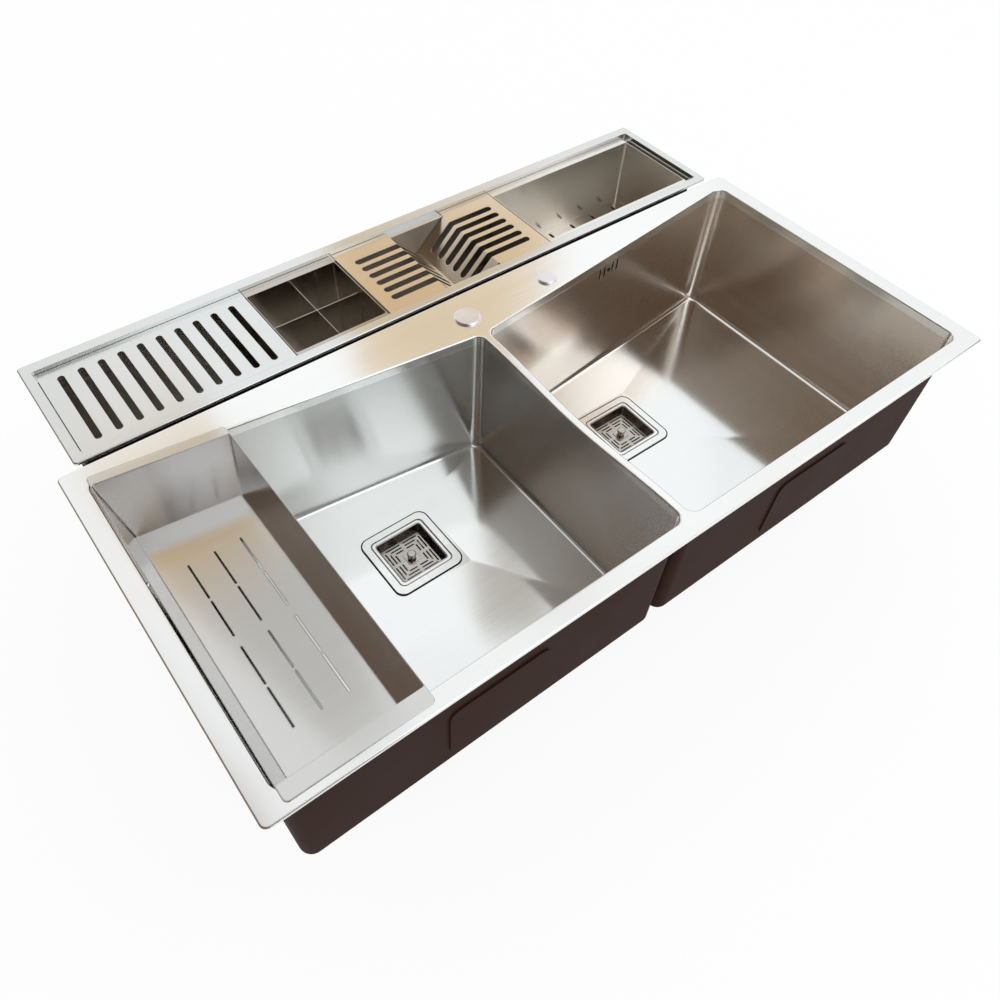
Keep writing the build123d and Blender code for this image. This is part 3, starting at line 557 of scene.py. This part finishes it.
class SINK_OT_channel(bpy.types.Operator):
    """Brushes the channel and its inserts"""

    bl_idname = "sink.channel"
    bl_label = "Channel and inserts"

    def execute(self, context):
        finish = context.scene.sink_finish
        plate = brushed_steel("channel_brushed_stainless", finish.channel_colour, finish, roughness=0.17)
        dress(plate, "channel_rim", "drainer_plate")
        # The rack and the caddy are tinted a little yellower than the rest, a painted warm reflection.
        rack = brushed_steel("rack_brushed_stainless", finish.rack_colour_and_reflection, finish, roughness=0.17)
        dress(rack, "plate_rack")
        caddy = brushed_steel("caddy_brushed_stainless", finish.caddy_colour_and_reflection, finish, roughness=0.17)
        dress(caddy, "caddy")
        # The pressed trough keeps the dull skin of the mill, so the light that comes in spreads in it.
        trough = brushed_steel("mill_finish_stainless", finish.trough_colour, finish, roughness=0.38)
        dress(trough, "channel_trough")
        # The spice box is finely brushed, with marks that hardly stand up.
        boxes = brushed_steel("insert_brushed_stainless", finish.insert_colour, finish,
                              roughness=0.13, groove=0.004)
        dress(boxes, "spice_box", "spice_divider_long", "spice_divider_cross")
        return {"FINISHED"}


class SINK_OT_seals(bpy.types.Operator):
    """Finishes the foam seals under both flanges"""

    bl_idname = "sink.seals"
    bl_label = "Rim seals"

    def execute(self, context):
        foam = moulded("closed_cell_foam", linear("#262524"), roughness=0.85, grit=1.6 * MM, depth=0.2 * MM)
        dress(foam, "sink_rim_seal", "channel_rim_seal")
        return {"FINISHED"}


class SINK_OT_stage(bpy.types.Operator):
    """Sets the floor, the soft light and the camera"""

    bl_idname = "sink.stage"
    bl_label = "Stage"

    def execute(self, context):
        stage = context.scene.sink_stage
        self.lay_floor(context, stage)
        self.set_world(context, stage)
        self.hang_softboxes(context, stage)
        self.hang_cards(context)
        self.set_camera(context, stage)
        context.scene.view_settings.view_transform = "Standard"
        return {"FINISHED"}

    def panel(self, context, name, corners, material):
        """Flat four-cornered stage panel."""
        mesh = bpy.data.meshes.new(name)
        mesh.from_pydata(corners, [], [(0, 1, 2, 3)])
        mesh.materials.append(material)
        made = bpy.data.objects.new(name, mesh)
        context.scene.collection.objects.link(made)
        return made

    def seen_share(self, tree):
        """One for rays from the camera, off a shiny surface or through glass, and zero for the rest."""
        path = add(tree, "ShaderNodeLightPath").outputs
        seen = path["Is Camera Ray"]
        for ray in ("Is Glossy Ray", "Is Transmission Ray"):
            seen = add(tree, "ShaderNodeMath", {0: seen, 1: path[ray]}, operation="MAXIMUM").outputs[0]
        return seen

    def lay_floor(self, context, stage):
        """Wide pale floor under the lowest point of the sink."""
        # Seamless paper: matt and even, so that only the soft shadow shows on it.
        material, tree = new_material("seamless_paper")
        place = add(tree, "ShaderNodeTexCoord").outputs["Object"]
        fibre = add(tree, "ShaderNodeTexNoise",
                    {"Vector": place, "Scale": 1 / (3 * MM), "Detail": 3.0}).outputs[0]
        darker = 0.985
        tints = {0: fibre, 6: rgba(stage.floor_colour, darker), 7: rgba(stage.floor_colour)}
        shade = add(tree, "ShaderNodeMix", tints, data_type="RGBA").outputs[2]
        paper = add(tree, "ShaderNodeBsdfPrincipled",
                    {"Base Color": shade, "Roughness": 0.9, "Specular IOR Level": 0.1}).outputs[0]
        # Lit from behind as well, so that the ground is white to the eye and its shadow stays faint.
        glow = add(tree, "ShaderNodeEmission", {"Color": white, "Strength": 1.0}).outputs[0]
        seen = self.seen_share(tree)
        share = add(tree, "ShaderNodeMath", {0: seen, 1: floor_glow}, operation="MULTIPLY").outputs[0]
        close_material(tree, add(tree, "ShaderNodeMixShader", {0: share, 1: paper, 2: glow}))
        level = cad_low[2] - floor_gap
        square = ((-1, -1), (1, -1), (1, 1), (-1, 1))
        corners = [(x * floor_reach, y * floor_reach, level) for x, y in square]
        self.panel(context, "studio_floor", corners, material)

    def set_world(self, context, stage):
        """Even soft light; the camera and the metal see it as plain white."""
        world = bpy.data.worlds.new("studio_light")
        world.use_nodes = True
        tree = world.node_tree
        tree.nodes.clear()
        seen = self.seen_share(tree)
        strength = add(tree, "ShaderNodeMapRange",
                       {"Value": seen, "To Min": stage.soft_light, "To Max": 1.0}).outputs[0]
        light = add(tree, "ShaderNodeBackground", {"Color": white, "Strength": strength}).outputs[0]
        add(tree, "ShaderNodeOutputWorld", {"Surface": light})
        context.scene.world = world

    def hang_softboxes(self, context, stage):
        """Large softbox above the rear right corner, and smaller ones to the front and right."""
        # Each box has its place, width, height and power.
        boxes = (
            ("rear_softbox", (1.0, 1.9, 2.0), 3.0, 1.9, stage.key_power),
            ("front_softbox", (0.36, -1.5, 2.1), 1.5, 1.9, stage.fill_power),
            ("right_softbox", (2.0, -0.93, 1.72), 1.7, 1.0, stage.fill_power),
        )
        for name, place, width, height, power in boxes:
            lamp = bpy.data.lights.new(name, "AREA")
            lamp.shape = "RECTANGLE"
            lamp.size = width
            lamp.size_y = height
            lamp.energy = power
            box = bpy.data.objects.new(name, lamp)
            box.location = place
            aim = lamp_target - box.location
            box.rotation_euler = aim.to_track_quat("-Z", "Y").to_euler()
            context.scene.collection.objects.link(box)

    def card_felt(self, name, code):
        """Evenly glowing felt that fades out towards the card's edges."""
        # The fade gives the reflections soft edges, as those of large things further off have.
        material, tree = new_material(name + "_felt")
        place = add(tree, "ShaderNodeTexCoord").outputs["UV"]
        spot = add(tree, "ShaderNodeSeparateXYZ", {0: place}).outputs
        fade = 1.0
        for axis in ("X", "Y"):
            inset = add(tree, "ShaderNodeMath", {0: spot[axis], 1: 0.5}, operation="PINGPONG").outputs[0]
            ramp = add(tree, "ShaderNodeMapRange", {"Value": inset, "From Max": card_fade},
                       interpolation_type="SMOOTHSTEP").outputs[0]
            fade = add(tree, "ShaderNodeMath", {0: ramp, 1: fade}, operation="MULTIPLY").outputs[0]
        felt = add(tree, "ShaderNodeEmission", {"Color": rgba(linear(code)), "Strength": 1.0}).outputs[0]
        clear = add(tree, "ShaderNodeBsdfTransparent").outputs[0]
        close_material(tree, add(tree, "ShaderNodeMixShader", {0: fade, 1: clear, 2: felt}))
        material.cycles.emission_sampling = "NONE"
        return material

    def hang_cards(self, context):
        """Dark and warm cards out of view, which the brushed metal reflects."""
        # Each card spans two angles clockwise from straight behind the sink and two heights, in degrees.
        cards = (
            ("left_rear_flag", "#8d7f73", -66, -25, -8, 58),
            ("left_flag", "#7f6e61", -106, -48, -8, 62),
            ("front_left_flag", "#6a5545", -154, -86, -8, 64),
            ("front_flag", "#756657", -180, -138, -8, 46),
            ("left_top_flag", "#8f8474", -92, -36, 50, 70),
            ("front_top_flag", "#857a6a", -172, -72, 54, 73),
            ("right_flag", "#51443a", 96, 124, -8, 28),
            ("warm_card", "#e6cda9", 17, 45, 24, 47),
            ("rear_warm_card", "#dcbd8c", -19, 1, 39.8, 52),
            ("tray_card", "#d6d5d2", -18, 6, 48, 74),
            ("blush_card", "#e8cdb8", 102, 134, 30, 62),
            ("grey_card", "#c0bab2", 30, 50, 46, 62),
        )
        for name, code, start, end, low, high in cards:
            corners = []
            for turn, rise in ((start, low), (end, low), (end, high), (start, high)):
                turn, rise = radians(turn), radians(rise)
                aim = Vector((sin(turn) * cos(rise), cos(turn) * cos(rise), sin(rise)))
                corners.append(aim * card_distance)
            card = self.panel(context, name, corners, self.card_felt(name, code))
            card.data.uv_layers.new(name="card")
            card.visible_camera = False
            card.visible_diffuse = False
            card.visible_shadow = False

    def set_camera(self, context, stage):
        """Camera above the front left corner."""
        lens = bpy.data.cameras.new("studio_camera")
        lens.sensor_width = 36.0
        lens.lens = stage.lens
        lens.shift_x, lens.shift_y = picture_shift
        lens.clip_end = 100.0
        camera = bpy.data.objects.new("studio_camera", lens)
        ahead = camera_ahead.normalized()
        up = camera_right.cross(ahead).normalized()
        right = ahead.cross(up)
        turn = Matrix((right, up, -ahead)).transposed()
        camera.matrix_world = Matrix.Translation(camera_place) @ turn.to_4x4()
        context.scene.collection.objects.link(camera)
        context.scene.camera = camera


class SINK_PT_panel(bpy.types.Panel):
    """Lists the sink's finishes and pieces"""

    bl_label = "Channel Sink"
    bl_idname = "SINK_PT_panel"
    bl_space_type = "VIEW_3D"
    bl_region_type = "UI"
    bl_category = "Sink"

    def draw(self, context):
        layout = self.layout
        for group in (context.scene.sink_finish, context.scene.sink_stage):
            for key in group.__annotations__:
                layout.prop(group, key)
        for step in steps:
            layout.operator(step.bl_idname)


steps = (SINK_OT_deck, SINK_OT_bowls, SINK_OT_coats, SINK_OT_wastes, SINK_OT_baskets, SINK_OT_covers,
         SINK_OT_tray, SINK_OT_channel, SINK_OT_seals, SINK_OT_stage)
classes = (SinkFinish, SinkStage, *steps, SINK_PT_panel)


def register():
    for made in classes:
        bpy.utils.register_class(made)
    bpy.types.Scene.sink_finish = bpy.props.PointerProperty(type=SinkFinish)
    bpy.types.Scene.sink_stage = bpy.props.PointerProperty(type=SinkStage)


def unregister():
    del bpy.types.Scene.sink_stage
    del bpy.types.Scene.sink_finish
    for made in reversed(classes):
        bpy.utils.unregister_class(made)


def main():
    register()
    bpy.ops.sink.deck()
    bpy.ops.sink.bowls()
    bpy.ops.sink.coats()
    bpy.ops.sink.wastes()
    bpy.ops.sink.baskets()
    bpy.ops.sink.covers()
    bpy.ops.sink.tray()
    bpy.ops.sink.channel()
    bpy.ops.sink.seals()
    bpy.ops.sink.stage()


if __name__ == "__main__":
    main()
